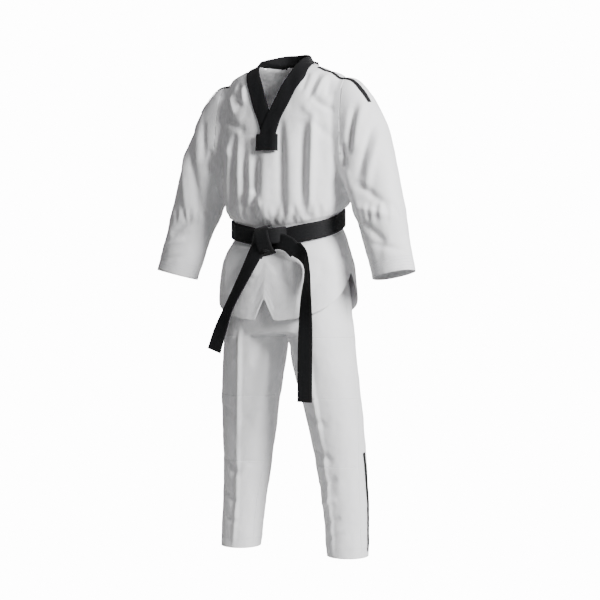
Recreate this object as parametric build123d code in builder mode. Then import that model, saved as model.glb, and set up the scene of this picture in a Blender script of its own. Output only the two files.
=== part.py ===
"""Martial arts uniform in its worn shape: V-neck jacket, trousers and a tied belt.

Millimetres, +Z up. The front faces -Y and the wearer's left is +X. The origin is the middle
of the shoulder line at the base of the neck, where a hanger or the wearer carries the jacket.
"""
import os

from build123d import *

os.makedirs("parts", exist_ok=True)

# Cloth, trims and clearances
CLOTH = 2.0             # sewn cloth wall with its seam allowances
TRIM = 1.0              # tapes, facings and hems
PLAY = 0.6              # gap between pieces that move apart
BODY_ROUND = 0.66       # corner radius of a body ring, as a share of its lesser half size
LEG_ROUND = 0.92        # the same for a sleeve or a trouser leg

# Jacket, above the belt
SHOULDER_HALF = 187.0   # middle to armhole seam
NECK_HALF = 74.0        # middle to the neck edge on the shoulder line
SHOULDER_DROP = 38.0    # fall of the shoulder seam from neck to armhole
SHOULDER_DEPTH = 58.0   # half depth at the shoulder line
YOKE_DEPTH = 86.0       # half depth below the collar bones
CHEST_DEPTH = 116.0     # half depth at the armpits
BLOUSE_HALF = 180.0     # half width where the cloth blouses over the belt
BLOUSE_DEPTH = 120.0
V_DEPTH = 150.0         # neck opening, shoulder line to the foot of the V
NAPE_DROP = 14.0        # neck opening, shoulder line to the nape edge
ARMHOLE_HALF = 142.0    # half height of the armhole
ARMHOLE_DEPTH = 62.0    # half depth of the armhole
YOKE_LEVEL = -70.0
CHEST_LEVEL = -250.0
BLOUSE_LEVEL = -375.0

# Collar
BAND_WIDTH = 38.0
BAND_THICK = 3.0
BAND_LAP = 46.0         # length of the bands below the foot of the V
CORE_THICK = 1.0        # interlining inside the folded bands
CORE_INSET = 3.0        # band edge to interlining edge
COLLAR_STAND = 34.0     # height of the collar behind the neck
NECK_DEPTH = 50.0       # neck opening, shoulder line back to the nape
TAB_WIDTH = 66.0
TAB_HEIGHT = 44.0
LOOP_WIDTH = 60.0       # hanger loop inside the nape
LOOP_DROP = 20.0
TAPE_WIDTH = 12.0       # plain tape on shoulder and lower leg
SLEEVE_TAPE_REACH = 110.0
SLEEVE_TAPE_DROP = 70.0

# Sleeves: centre line points, half width and half depth of each ring
SLEEVE_RINGS = (
    ((256.0, -8.0, -300.0), (0.50, -0.05, -0.86), 76.0, 72.0),     # upper arm
    ((303.0, -24.0, -430.0), (0.32, -0.08, -0.95), 66.0, 62.0),    # elbow
    ((345.0, -40.0, -584.0), (0.26, -0.08, -0.96), 59.0, 47.0),    # wrist
)
CUFF_FACING = 42.0

# Belt: the waist line falls towards the front
BELT_LEVEL = -439.0     # belt centre line at the side seams
BELT_SLOPE = 0.30       # rise per unit of depth
BELT_WIDTH = 45.0
BELT_THICK = 3.0
WAIST_HALF = 156.0      # jacket under the belt
WAIST_DEPTH = 98.0
KNOT_WIDTH = 88.0
KNOT_HEIGHT = 64.0
KNOT_DEPTH = 27.0
KNOT_OFFSET = -4.0
TAIL_DROP = 12.0        # gap under the knot before the free tails
TAIL_STAND = 13.0       # tail in front of the skirt's hinge line
LEFT_TAIL_END = -930.0
RIGHT_TAIL_END = -796.0

# Jacket skirt
SKIRT_LEVEL = -522.0    # line where the skirt swings free
SKIRT_TOP_HALF = 181.0
SKIRT_TOP_DEPTH = 116.0
SKIRT_HALF = 197.0
SKIRT_DEPTH = 134.0
VENT_LEVEL = -576.0
SKIRT_HEM = -709.0
NOTCH_HALF = 26.0       # centre-front notch of the hem
NOTCH_HEIGHT = 60.0
SKIRT_FACING = 20.0

# Trousers
TROUSER_WAIST_HALF = 146.0
TROUSER_WAIST_DEPTH = 86.0
WAISTBAND_WIDTH = 42.0
WAISTBAND_THICK = 4.2
ELASTIC_WIDTH = 34.0
ELASTIC_THICK = 1.4
HIP_LEVEL = -660.0
HIP_HALF = 178.0
HIP_DEPTH = 116.0
CROTCH_LEVEL = -756.0
CROTCH_HALF = 12.0      # half width of the gusset between the legs
LEG_TOP_DEPTH = 104.0
LEG_TOP_CENTRE = 100.0
KNEE_TOP = -923.0
KNEE_BOTTOM = -1112.0
KNEE_CENTRE = 124.0
KNEE_HALF = 80.0
KNEE_DEPTH = 84.0
SHIN_CENTRE = 148.0
SHIN_HALF = 66.0
SHIN_DEPTH = 72.0
LEG_END = -1364.0
ANKLE_CENTRE = 171.0
ANKLE_HALF = 54.0
ANKLE_DEPTH = 62.0
ANKLE_BACK = 16.0       # ankle centre behind the hip line
LEG_FACING = 30.0
HIP_JOINT_LEVEL = -712.0
HIP_JOINT_RADIUS = 97.0


def cut_plane(height, slope=0.0):
    """Level plane at a height, or one that rises towards the back by slope."""
    return Plane((0, 0, height), x_dir=(1, 0, 0), z_dir=(0, -slope, 1))


def form(rings, inset=0.0, roundness=BODY_ROUND):
    """Solid through rings of (x, y, height, slope, half width, half depth), drawn in by inset."""
    with BuildPart() as body:
        for x, y, height, slope, half_width, half_depth in rings:
            plane = Plane((x, y, height), x_dir=(1, 0, 0), z_dir=(0, -slope, 1))
            with BuildSketch(plane):
                RectangleRounded(
                    2 * (half_width - inset),
                    2 * (half_depth - inset),
                    roundness * min(half_width, half_depth) - inset,
                )
        loft(ruled=True)
    return body.part


# Rings of the whole jacket, from above the shoulders to below the hem
ARM_SIDE = SHOULDER_HALF - PLAY
JACKET_RINGS = (
    (0, 0, BAND_THICK + 4, 0.0, ARM_SIDE, SHOULDER_DEPTH),
    (0, 0, YOKE_LEVEL, 0.0, ARM_SIDE, YOKE_DEPTH),
    (0, 0, CHEST_LEVEL, 0.0, ARM_SIDE, CHEST_DEPTH),
    (0, 0, BLOUSE_LEVEL, BELT_SLOPE / 2, BLOUSE_HALF, BLOUSE_DEPTH),
    (0, 0, BELT_LEVEL + BELT_WIDTH / 2, BELT_SLOPE, WAIST_HALF, WAIST_DEPTH),
    (0, 0, BELT_LEVEL - BELT_WIDTH / 2, BELT_SLOPE, WAIST_HALF, WAIST_DEPTH),
    (0, 0, SKIRT_LEVEL, 0.0, SKIRT_TOP_HALF, SKIRT_TOP_DEPTH),
    (0, 0, (SKIRT_LEVEL + SKIRT_HEM) / 2, 0.0, (SKIRT_TOP_HALF + SKIRT_HALF) / 2 + 3,
     (SKIRT_TOP_DEPTH + SKIRT_DEPTH) / 2 + 3),
    (0, 0, SKIRT_HEM - 4, 0.0, SKIRT_HALF, SKIRT_DEPTH),
)


def jacket_form(inset):
    """Jacket form under its shoulder slopes, drawn in all round by inset."""
    with BuildPart() as body:
        add(form(JACKET_RINGS, inset))
        split(bisect_by=cut_plane(-inset), keep=Keep.BOTTOM)
        for side in (1, -1):
            run = SHOULDER_HALF - NECK_HALF
            slope = Plane((side * NECK_HALF, 0, -inset), z_dir=(side * SHOULDER_DROP, 0, run))
            split(bisect_by=slope, keep=Keep.BOTTOM)
    return body.part


JACKET_OUT = jacket_form(0)
JACKET_IN = jacket_form(CLOTH)
BAND_OUT = jacket_form(-BAND_THICK)


ARMHOLE_CENTRE = -SHOULDER_DROP - ARMHOLE_HALF - PLAY


def sleeve_form(inset, side):
    """Sleeve tube from the armhole plane to the wrist, drawn in by inset."""
    with BuildPart() as body:
        armhole = Plane((SHOULDER_HALF, 0, ARMHOLE_CENTRE), x_dir=(0, 1, 0), z_dir=(1, 0, 0))
        rings = [(armhole, ARMHOLE_HALF, ARMHOLE_DEPTH)]
        for centre, aim, half_width, half_depth in SLEEVE_RINGS:
            rings.append((Plane(centre, x_dir=(0, 1, 0), z_dir=aim), half_width, half_depth))
        for plane, half_width, half_depth in rings:
            with BuildSketch(plane):
                RectangleRounded(
                    2 * (half_depth - inset),
                    2 * (half_width - inset),
                    LEG_ROUND * min(half_width, half_depth) - inset,
                )
        loft(ruled=True)
    with BuildPart() as placed:
        if side > 0:
            add(body.part)
        else:
            mirror(body.part, about=Plane.YZ)
    return placed.part


def finish(block, name):
    """Label a finished piece and write it."""
    block.part.label = name
    export_step(block.part, f"parts/{name}.step")


# ---------------------------------------------------------------- jacket body
SIDES = (("left", 1), ("right", -1))
SLEEVE_IN = {name: sleeve_form(CLOTH, side) for name, side in SIDES}

with BuildPart() as jacket_shell:
    add(JACKET_OUT)
    add(JACKET_IN, mode=Mode.SUBTRACT)
    # armholes through the side walls
    for side in (1, -1):
        with BuildSketch(Plane((side * (SHOULDER_HALF - 60), 0, ARMHOLE_CENTRE), x_dir=(0, 1, 0),
                               z_dir=(side, 0, 0))):
            Ellipse(ARMHOLE_DEPTH - CLOTH, ARMHOLE_HALF - CLOTH - 4)
        extrude(amount=80, mode=Mode.SUBTRACT)

with BuildPart() as upper_jacket:
    add(jacket_shell.part)
    split(bisect_by=cut_plane(SKIRT_LEVEL + PLAY), keep=Keep.TOP)

with BuildPart() as jacket_front:
    add(upper_jacket.part)
    split(bisect_by=Plane.XZ, keep=Keep.TOP)
    with BuildSketch(Plane.XZ):
        with BuildLine():
            Polyline((-NECK_HALF, 0), (0, -V_DEPTH), (NECK_HALF, 0), (NECK_HALF, 20), (-NECK_HALF, 20),
                     close=True)
        make_face()
    extrude(amount=CHEST_DEPTH + 60, mode=Mode.SUBTRACT)
finish(jacket_front, "jacket_front")

with BuildPart() as jacket_back:
    add(upper_jacket.part)
    split(bisect_by=Plane.XZ, keep=Keep.BOTTOM)
    with BuildSketch(Plane.XY.offset(-NAPE_DROP)):
        Ellipse(NECK_HALF, NECK_DEPTH)
    extrude(amount=NAPE_DROP + 20, mode=Mode.SUBTRACT)
finish(jacket_back, "jacket_back")

# ---------------------------------------------------------------- collar
def band_outline(side, edge=0.0):
    """Corners of one front band in the XZ plane, its long edges drawn in by edge; the left laps over."""
    length = (NECK_HALF**2 + V_DEPTH**2) ** 0.5
    along = Vector(-side * NECK_HALF, -V_DEPTH) / length
    across = Vector(side * V_DEPTH, -NECK_HALF) / length
    top = Vector(side * NECK_HALF, 0) - along * BAND_WIDTH / 2
    foot = Vector(0, -V_DEPTH) + along * (BAND_LAP if side > 0 else 0)
    inner, outer = across * edge, across * (BAND_WIDTH - edge)
    return [tuple(corner) for corner in (top + inner, foot + inner, foot + outer, top + outer)]


def front_prism(outline):
    """Solid that stands on an outline in the XZ plane and reaches forwards of the chest."""
    with BuildPart() as body:
        with BuildSketch(Plane.XZ):
            with BuildLine():
                Polyline(*outline, close=True)
            make_face()
        extrude(amount=CHEST_DEPTH + 60)
    return body.part


BAND_AREA = {name: front_prism(band_outline(side)) for name, side in SIDES}
CORE_AREA = {name: front_prism(band_outline(side, CORE_INSET)) for name, side in SIDES}
CORE_OUT = jacket_form(-(BAND_THICK + CORE_THICK) / 2)
CORE_IN = jacket_form(-(BAND_THICK - CORE_THICK) / 2)

for name, side in SIDES:
    with BuildPart() as interlining:
        add(CORE_OUT)
        add(CORE_IN, mode=Mode.SUBTRACT)
        add(CORE_AREA[name], mode=Mode.INTERSECT)
        if name == "right":
            add(BAND_AREA["left"], mode=Mode.SUBTRACT)
    finish(interlining, f"collar_{name}_interlining")

    with BuildPart() as band:
        add(BAND_OUT)
        add(JACKET_OUT, mode=Mode.SUBTRACT)
        add(BAND_AREA[name], mode=Mode.INTERSECT)
        add(interlining.part, mode=Mode.SUBTRACT)
        if name == "right":
            add(BAND_AREA["left"], mode=Mode.SUBTRACT)
    finish(band, f"collar_{name}_band")

with BuildPart() as collar_tab:
    add(jacket_form(-BAND_THICK - CLOTH))
    add(BAND_OUT, mode=Mode.SUBTRACT)
    tab_foot = -V_DEPTH - BAND_WIDTH / (NECK_HALF / (NECK_HALF**2 + V_DEPTH**2) ** 0.5) - PLAY
    tab_outline = [(-TAB_WIDTH / 2, tab_foot), (TAB_WIDTH / 2, tab_foot),
                   (TAB_WIDTH / 2, tab_foot + TAB_HEIGHT), (-TAB_WIDTH / 2, tab_foot + TAB_HEIGHT)]
    add(front_prism(tab_outline), mode=Mode.INTERSECT)
finish(collar_tab, "collar_tab")

# standing collar behind the neck, folded round its own interlining
with BuildPart() as collar_back_interlining:
    with BuildSketch(Plane.XY.offset(-NAPE_DROP)):
        wall = (BAND_THICK - CORE_THICK) / 2
        Ellipse(NECK_HALF - wall, NECK_DEPTH - wall)
        Ellipse(NECK_HALF - wall - CORE_THICK, NECK_DEPTH - wall - CORE_THICK, mode=Mode.SUBTRACT)
    extrude(amount=NAPE_DROP + COLLAR_STAND - CORE_INSET)
    split(bisect_by=Plane.XZ, keep=Keep.BOTTOM)
finish(collar_back_interlining, "collar_back_interlining")

with BuildPart() as collar_back_band:
    with BuildSketch(Plane.XY.offset(-NAPE_DROP)):
        Ellipse(NECK_HALF, NECK_DEPTH)
        Ellipse(NECK_HALF - BAND_THICK, NECK_DEPTH - BAND_THICK, mode=Mode.SUBTRACT)
    extrude(amount=NAPE_DROP + COLLAR_STAND)
    split(bisect_by=Plane.XZ, keep=Keep.BOTTOM)
    add(collar_back_interlining.part, mode=Mode.SUBTRACT)
finish(collar_back_band, "collar_back_band")

with BuildPart() as hanger_loop:
    loop_y = NECK_DEPTH * (1 - (LOOP_WIDTH / 2 / NECK_HALF) ** 2) ** 0.5 - BAND_THICK / 2
    with BuildSketch(Plane.XZ.offset(-loop_y - TRIM / 2)):
        with BuildLine():
            ThreePointArc((-LOOP_WIDTH / 2 - 3, -NAPE_DROP), (0, -NAPE_DROP - LOOP_DROP),
                          (LOOP_WIDTH / 2 + 3, -NAPE_DROP))
            Line((LOOP_WIDTH / 2 + 3, -NAPE_DROP), (LOOP_WIDTH / 2 - 3, -NAPE_DROP))
            ThreePointArc((LOOP_WIDTH / 2 - 3, -NAPE_DROP), (0, -NAPE_DROP - LOOP_DROP + 6),
                          (-LOOP_WIDTH / 2 + 3, -NAPE_DROP))
            Line((-LOOP_WIDTH / 2 + 3, -NAPE_DROP), (-LOOP_WIDTH / 2 - 3, -NAPE_DROP))
        make_face()
    extrude(amount=TRIM)
finish(hanger_loop, "hanger_loop")

# ---------------------------------------------------------------- sleeves and shoulder tapes
WRIST, WRIST_AIM = SLEEVE_RINGS[-1][:2]
TAPE_LAYER = jacket_form(-TRIM)
for name, side in SIDES:
    sleeve_out = sleeve_form(0, side)
    sleeve_in = SLEEVE_IN[name]
    wrist_aim = Vector(side * WRIST_AIM[0], WRIST_AIM[1], WRIST_AIM[2]).normalized()
    wrist = Vector(side * WRIST[0], WRIST[1], WRIST[2])

    with BuildPart() as sleeve:
        add(sleeve_out)
        add(sleeve_in, mode=Mode.SUBTRACT)
    finish(sleeve, f"{name}_sleeve")

    with BuildPart() as cuff_facing:
        add(sleeve_in)
        add(sleeve_form(CLOTH + TRIM, side), mode=Mode.SUBTRACT)
        split(bisect_by=Plane(wrist - wrist_aim * CUFF_FACING, z_dir=wrist_aim), keep=Keep.TOP)
    finish(cuff_facing, f"{name}_cuff_facing")

    tape_inner = NECK_HALF + BAND_WIDTH + TRIM
    tape_length = SHOULDER_HALF - PLAY - tape_inner
    with BuildPart() as shoulder_tape:
        add(TAPE_LAYER)
        add(JACKET_OUT, mode=Mode.SUBTRACT)
        with BuildSketch(Plane.XY.offset(-SHOULDER_DROP - 10), mode=Mode.PRIVATE) as tape_run:
            with Locations((side * (tape_inner + tape_length / 2), -TAPE_WIDTH)):
                Rectangle(tape_length, TAPE_WIDTH)
        extrude(tape_run.sketch, amount=SHOULDER_DROP + 30, mode=Mode.INTERSECT)
    finish(shoulder_tape, f"{name}_shoulder_tape")

    with BuildPart() as sleeve_tape:
        with BuildSketch(Plane.XY.offset(-SHOULDER_DROP - SLEEVE_TAPE_DROP)):
            with Locations((side * (SHOULDER_HALF + CLOTH + SLEEVE_TAPE_REACH / 2), -TAPE_WIDTH)):
                Rectangle(SLEEVE_TAPE_REACH, TAPE_WIDTH)
        extrude(amount=SLEEVE_TAPE_DROP + 30)
        add(sleeve_form(-TRIM, side), mode=Mode.INTERSECT)
        add(sleeve_out, mode=Mode.SUBTRACT)
    finish(sleeve_tape, f"{name}_sleeve_tape")

# ---------------------------------------------------------------- jacket skirt
def hem_outline(raised, notch):
    """Outline in the XZ plane of all that hangs above the shirt-tail hem, raised by a width."""
    low, vent = SKIRT_HEM + raised, VENT_LEVEL + raised
    wide = SKIRT_HALF + 8
    turn = (wide * 0.82, low + 0.26 * (vent - low))
    with BuildPart() as body:
        with BuildSketch(Plane.XZ.offset(-SKIRT_DEPTH - 20)):
            with BuildLine():
                if notch:
                    Polyline((-NOTCH_HALF, low), (0, low + NOTCH_HEIGHT), (NOTCH_HALF, low))
                else:
                    Line((-NOTCH_HALF, low), (NOTCH_HALF, low))
                Line((NOTCH_HALF, low), (3 * NOTCH_HALF, low))
                ThreePointArc((3 * NOTCH_HALF, low), turn, (wide, vent))
                Polyline((wide, vent), (wide, 0), (-wide, 0), (-wide, vent))
                ThreePointArc((-wide, vent), (-turn[0], turn[1]), (-3 * NOTCH_HALF, low))
                Line((-3 * NOTCH_HALF, low), (-NOTCH_HALF, low))
            make_face()
        extrude(amount=2 * SKIRT_DEPTH + 40)
    return body.part


FACING_IN = jacket_form(CLOTH + TRIM)
for name, front in (("front", True), ("back", False)):
    side_plane = Plane.XZ.offset(PLAY / 2 if front else -PLAY / 2)
    kept = Keep.TOP if front else Keep.BOTTOM
    hem = hem_outline(0, front)
    with BuildPart() as skirt:
        add(jacket_shell.part)
        split(bisect_by=cut_plane(SKIRT_LEVEL), keep=Keep.BOTTOM)
        split(bisect_by=side_plane, keep=kept)
        add(hem, mode=Mode.INTERSECT)
    finish(skirt, f"{name}_skirt")

    with BuildPart() as hem_facing:
        add(JACKET_IN)
        add(FACING_IN, mode=Mode.SUBTRACT)
        split(bisect_by=cut_plane(SKIRT_LEVEL), keep=Keep.BOTTOM)
        split(bisect_by=side_plane, keep=kept)
        add(hem, mode=Mode.INTERSECT)
        add(hem_outline(SKIRT_FACING, front), mode=Mode.SUBTRACT)
    finish(hem_facing, f"{name}_skirt_facing")

# ---------------------------------------------------------------- belt
BELT_TOP = cut_plane(BELT_LEVEL + BELT_WIDTH / 2, BELT_SLOPE)
BELT_FOOT = cut_plane(BELT_LEVEL - BELT_WIDTH / 2, BELT_SLOPE)
BELT_OUT = jacket_form(-2 * BELT_THICK)
for name, inside, outside in (("inner", JACKET_OUT, BAND_OUT), ("outer", BAND_OUT, BELT_OUT)):
    with BuildPart() as wrap:
        add(outside)
        add(inside, mode=Mode.SUBTRACT)
        split(bisect_by=BELT_TOP, keep=Keep.BOTTOM)
        split(bisect_by=BELT_FOOT, keep=Keep.TOP)
    finish(wrap, f"belt_{name}_wrap")

KNOT_LEVEL = BELT_LEVEL - BELT_SLOPE * WAIST_DEPTH - 8
with BuildPart() as belt_knot:
    with BuildSketch(Plane.XZ.offset(WAIST_DEPTH - 6)):
        with Locations((KNOT_OFFSET, KNOT_LEVEL)):
            RectangleRounded(KNOT_WIDTH, KNOT_HEIGHT, KNOT_HEIGHT / 3)
    extrude(amount=KNOT_DEPTH + 6 + 2 * BELT_THICK)
    fillet(belt_knot.edges().group_by(Axis.Y)[0], radius=KNOT_DEPTH / 3)
    add(BELT_OUT, mode=Mode.SUBTRACT)
finish(belt_knot, "belt_knot")

TAIL_TOP = KNOT_LEVEL - KNOT_HEIGHT / 2 - TAIL_DROP
TAIL_FACE = SKIRT_TOP_DEPTH + TAIL_STAND
for name, start, bend, end in (
    ("left", (34, TAIL_TOP), (112, TAIL_TOP - 70), (112, LEFT_TAIL_END)),
    ("right", (-40, TAIL_TOP), (-72, TAIL_TOP - 90), (-158, RIGHT_TAIL_END)),
):
    with BuildPart() as tail:
        with BuildSketch(Plane.XZ.offset(TAIL_FACE - 30)):
            with BuildLine():
                FilletPolyline((start[0], start[1] + 30), bend, end, radius=60)
            trace(line_width=BELT_WIDTH)
        extrude(amount=90)
        with BuildSketch(Plane.YZ, mode=Mode.PRIVATE) as side_view:
            with BuildLine():
                Polyline((-TAIL_FACE, TAIL_TOP), (-SKIRT_DEPTH - 12, TAIL_TOP - 110),
                         (-SKIRT_DEPTH - 12, LEFT_TAIL_END - 40),
                         (-SKIRT_DEPTH - 12 - BELT_THICK, LEFT_TAIL_END - 40),
                         (-SKIRT_DEPTH - 12 - BELT_THICK, TAIL_TOP - 110),
                         (-TAIL_FACE - BELT_THICK, TAIL_TOP), close=True)
            make_face()
        extrude(side_view.sketch, amount=300, both=True, mode=Mode.INTERSECT)
    finish(tail, f"{name}_belt_tail")

# ---------------------------------------------------------------- trousers
WAIST_TOP = BELT_LEVEL + WAISTBAND_WIDTH / 2
WAIST_FOOT = BELT_LEVEL - WAISTBAND_WIDTH / 2
HIP_RINGS = (
    (0, 0, WAIST_TOP + 8, BELT_SLOPE, TROUSER_WAIST_HALF, TROUSER_WAIST_DEPTH),
    (0, 0, WAIST_FOOT, BELT_SLOPE, TROUSER_WAIST_HALF, TROUSER_WAIST_DEPTH),
    (0, 0, (WAIST_FOOT + HIP_LEVEL) / 2, 0.0, (TROUSER_WAIST_HALF + HIP_HALF) / 2,
     (TROUSER_WAIST_DEPTH + HIP_DEPTH) / 2),
    (0, 0, HIP_LEVEL, 0.0, HIP_HALF, HIP_DEPTH),
    (0, 0, CROTCH_LEVEL - 10, 0.0, 2 * LEG_TOP_CENTRE - CROTCH_HALF - 2, LEG_TOP_DEPTH),
)


def trouser_form(inset):
    """Hips and both legs as one solid, drawn in all round by inset."""
    leg_half = LEG_TOP_CENTRE - CROTCH_HALF - 2
    with BuildPart() as body:
        add(form(HIP_RINGS, inset))
        split(bisect_by=cut_plane(CROTCH_LEVEL + inset), keep=Keep.TOP)
        for side in (1, -1):
            rings = (
                (side * LEG_TOP_CENTRE, 0, HIP_LEVEL - 20, 0.0, leg_half - 6, LEG_TOP_DEPTH),
                (side * LEG_TOP_CENTRE, 0, CROTCH_LEVEL, 0.0, leg_half, LEG_TOP_DEPTH),
                (side * KNEE_CENTRE, 0, KNEE_TOP, 0.0, KNEE_HALF, KNEE_DEPTH),
                (side * SHIN_CENTRE, ANKLE_BACK / 2, KNEE_BOTTOM, 0.0, SHIN_HALF, SHIN_DEPTH),
                (side * ANKLE_CENTRE, ANKLE_BACK, LEG_END, 0.0, ANKLE_HALF, ANKLE_DEPTH),
            )
            add(form(rings, inset, LEG_ROUND))
    return body.part


def leg_zone(side, clearance):
    """Everything that swings with one leg: below the hip joint and outside its cylinder."""
    reach = 2 * (SKIRT_HALF + ANKLE_CENTRE)
    edge = CROTCH_HALF - clearance
    with BuildPart() as body:
        with BuildSketch(Plane.XZ.offset(-reach / 2)):
            with Locations((side * (edge + reach / 4), (LEG_END - 20 + HIP_JOINT_LEVEL) / 2)):
                Rectangle(reach / 2, HIP_JOINT_LEVEL - LEG_END + 20)
            with Locations((side * LEG_TOP_CENTRE, HIP_JOINT_LEVEL)):
                Circle(HIP_JOINT_RADIUS - clearance, mode=Mode.SUBTRACT)
        extrude(amount=reach)
    return body.part


TROUSERS_OUT, TROUSERS_IN = trouser_form(0), trouser_form(CLOTH)
with BuildPart() as trouser_shell:
    add(TROUSERS_OUT)
    add(TROUSERS_IN, mode=Mode.SUBTRACT)

with BuildPart() as hip_shell:
    add(trouser_shell.part)
    for side in (1, -1):
        add(leg_zone(side, PLAY), mode=Mode.SUBTRACT)
    split(bisect_by=cut_plane(WAIST_FOOT, BELT_SLOPE), keep=Keep.BOTTOM)

gusset_outline = [(-CROTCH_HALF + PLAY, CROTCH_LEVEL - 1), (CROTCH_HALF - PLAY, CROTCH_LEVEL - 1),
                  (CROTCH_HALF - PLAY, CROTCH_LEVEL + CLOTH), (-CROTCH_HALF + PLAY, CROTCH_LEVEL + CLOTH)]
with BuildPart() as gusset_area:
    with BuildSketch(Plane.XZ.offset(-HIP_DEPTH)):
        with BuildLine():
            Polyline(*gusset_outline, close=True)
        make_face()
    extrude(amount=2 * HIP_DEPTH)

with BuildPart() as crotch_gusset:
    add(hip_shell.part)
    add(gusset_area.part, mode=Mode.INTERSECT)
finish(crotch_gusset, "crotch_gusset")

for name, kept in (("front", Keep.TOP), ("back", Keep.BOTTOM)):
    with BuildPart() as hip_panel:
        add(hip_shell.part)
        add(gusset_area.part, mode=Mode.SUBTRACT)
        split(bisect_by=Plane.XZ, keep=kept)
    finish(hip_panel, f"trouser_{name}")

with BuildPart() as waist_elastic:
    wall = (WAISTBAND_THICK - ELASTIC_THICK) / 2
    add(form(HIP_RINGS, wall))
    add(form(HIP_RINGS, wall + ELASTIC_THICK), mode=Mode.SUBTRACT)
    split(bisect_by=cut_plane(WAIST_FOOT, BELT_SLOPE), keep=Keep.TOP)
    split(bisect_by=cut_plane(WAIST_FOOT + ELASTIC_WIDTH, BELT_SLOPE), keep=Keep.BOTTOM)
finish(waist_elastic, "waist_elastic")

with BuildPart() as waistband:
    add(form(HIP_RINGS))
    add(form(HIP_RINGS, WAISTBAND_THICK), mode=Mode.SUBTRACT)
    split(bisect_by=cut_plane(WAIST_FOOT, BELT_SLOPE), keep=Keep.TOP)
    split(bisect_by=cut_plane(WAIST_TOP, BELT_SLOPE), keep=Keep.BOTTOM)
    add(waist_elastic.part, mode=Mode.SUBTRACT)
finish(waistband, "waistband")

TROUSER_FACING_IN = trouser_form(CLOTH + TRIM)
TROUSER_TAPE_OUT = trouser_form(-TRIM)
for name, side in SIDES:
    with BuildPart() as leg_shell:
        add(trouser_shell.part)
        add(leg_zone(side, 0), mode=Mode.INTERSECT)
    leg_tube = leg_shell.solids().sort_by(SortBy.VOLUME)[-1]

    with BuildPart() as leg_back:
        add(leg_tube)
        split(bisect_by=Plane.XZ, keep=Keep.BOTTOM)
    finish(leg_back, f"{name}_leg_back")

    for panel, top, foot in (("thigh", 0, KNEE_TOP), ("knee", KNEE_TOP, KNEE_BOTTOM),
                             ("shin", KNEE_BOTTOM, LEG_END - 10)):
        with BuildPart() as leg_panel:
            add(leg_tube)
            split(bisect_by=Plane.XZ, keep=Keep.TOP)
            split(bisect_by=cut_plane(top), keep=Keep.BOTTOM)
            split(bisect_by=cut_plane(foot), keep=Keep.TOP)
        finish(leg_panel, f"{name}_{panel}_panel")

    with BuildPart() as leg_facing:
        add(TROUSERS_IN)
        add(TROUSER_FACING_IN, mode=Mode.SUBTRACT)
        split(bisect_by=cut_plane(LEG_END + LEG_FACING), keep=Keep.BOTTOM)
        split(bisect_by=Plane.YZ, keep=Keep.TOP if side > 0 else Keep.BOTTOM)
    finish(leg_facing, f"{name}_leg_facing")

    with BuildPart() as leg_tape:
        add(TROUSER_TAPE_OUT)
        add(TROUSERS_OUT, mode=Mode.SUBTRACT)
        with BuildSketch(Plane.XY.offset(LEG_END + 10), mode=Mode.PRIVATE) as tape_run:
            with Locations((side * (ANKLE_CENTRE + ANKLE_HALF), ANKLE_BACK / 2)):
                Rectangle(ANKLE_HALF * 2, TAPE_WIDTH)
        extrude(tape_run.sketch, amount=KNEE_BOTTOM + 40 - LEG_END, mode=Mode.INTERSECT)
    finish(leg_tape, f"{name}_leg_tape")
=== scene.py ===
from math import atan2, copysign, cos, exp, pi, radians, sin

import bmesh
import bpy
import numpy as np
from mathutils import Matrix, Vector, noise
from mathutils.bvhtree import BVHTree


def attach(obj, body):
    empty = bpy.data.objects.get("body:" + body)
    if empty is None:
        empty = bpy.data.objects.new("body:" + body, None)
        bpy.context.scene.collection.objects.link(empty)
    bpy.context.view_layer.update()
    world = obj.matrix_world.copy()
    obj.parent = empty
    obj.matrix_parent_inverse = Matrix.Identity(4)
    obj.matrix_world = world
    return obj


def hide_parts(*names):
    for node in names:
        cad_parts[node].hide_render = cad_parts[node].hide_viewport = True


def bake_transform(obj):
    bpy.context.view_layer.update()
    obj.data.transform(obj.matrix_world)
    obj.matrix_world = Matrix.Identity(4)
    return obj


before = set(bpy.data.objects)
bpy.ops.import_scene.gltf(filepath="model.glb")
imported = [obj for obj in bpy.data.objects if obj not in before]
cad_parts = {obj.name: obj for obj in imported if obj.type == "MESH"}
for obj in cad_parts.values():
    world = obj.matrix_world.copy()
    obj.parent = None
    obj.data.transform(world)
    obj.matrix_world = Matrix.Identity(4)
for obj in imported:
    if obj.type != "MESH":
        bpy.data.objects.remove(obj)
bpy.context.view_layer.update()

# Camera and studio: a long lens at hip height, in front and to the wearer's left, a soft key
# light from the wearer's left, weak lights on the other sides, and a plain pale floor and sky.
lens_azimuth, lens_elevation, lens_distance = radians(28), radians(1.0), 3.98
lens_back = Vector((sin(lens_azimuth) * cos(lens_elevation), -cos(lens_azimuth) * cos(lens_elevation),
                    sin(lens_elevation)))
lens_target = Vector((0.029, 0.016, -0.655))
camera = bpy.data.objects.new("camera", bpy.data.cameras.new("camera"))
camera.data.lens = 85
camera.location = lens_target + lens_back * lens_distance
camera.rotation_euler = lens_back.to_track_quat("Z", "Y").to_euler()
bpy.context.collection.objects.link(camera)
bpy.context.scene.camera = camera


def soft_light(name, place, size, energy):
    """A square soft box aimed at the middle of the uniform."""
    lamp = bpy.data.lights.new(name, "AREA")
    lamp.size, lamp.energy = size, energy
    lit = bpy.data.objects.new(name, lamp)
    lit.location = place
    lit.rotation_euler = (Vector(place) - Vector((0, 0, -0.6))).to_track_quat("Z", "Y").to_euler()
    bpy.context.collection.objects.link(lit)


soft_light("key_light", (3.5, -1.15, 1.0), 1.2, 420)
soft_light("top_light", (0.6, -0.6, 3.0), 2.0, 26)
soft_light("fill_light", (-3.0, -2.6, 0.2), 2.5, 6)
soft_light("rear_light", (-0.4, 3.6, 1.2), 2.5, 90)

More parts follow.
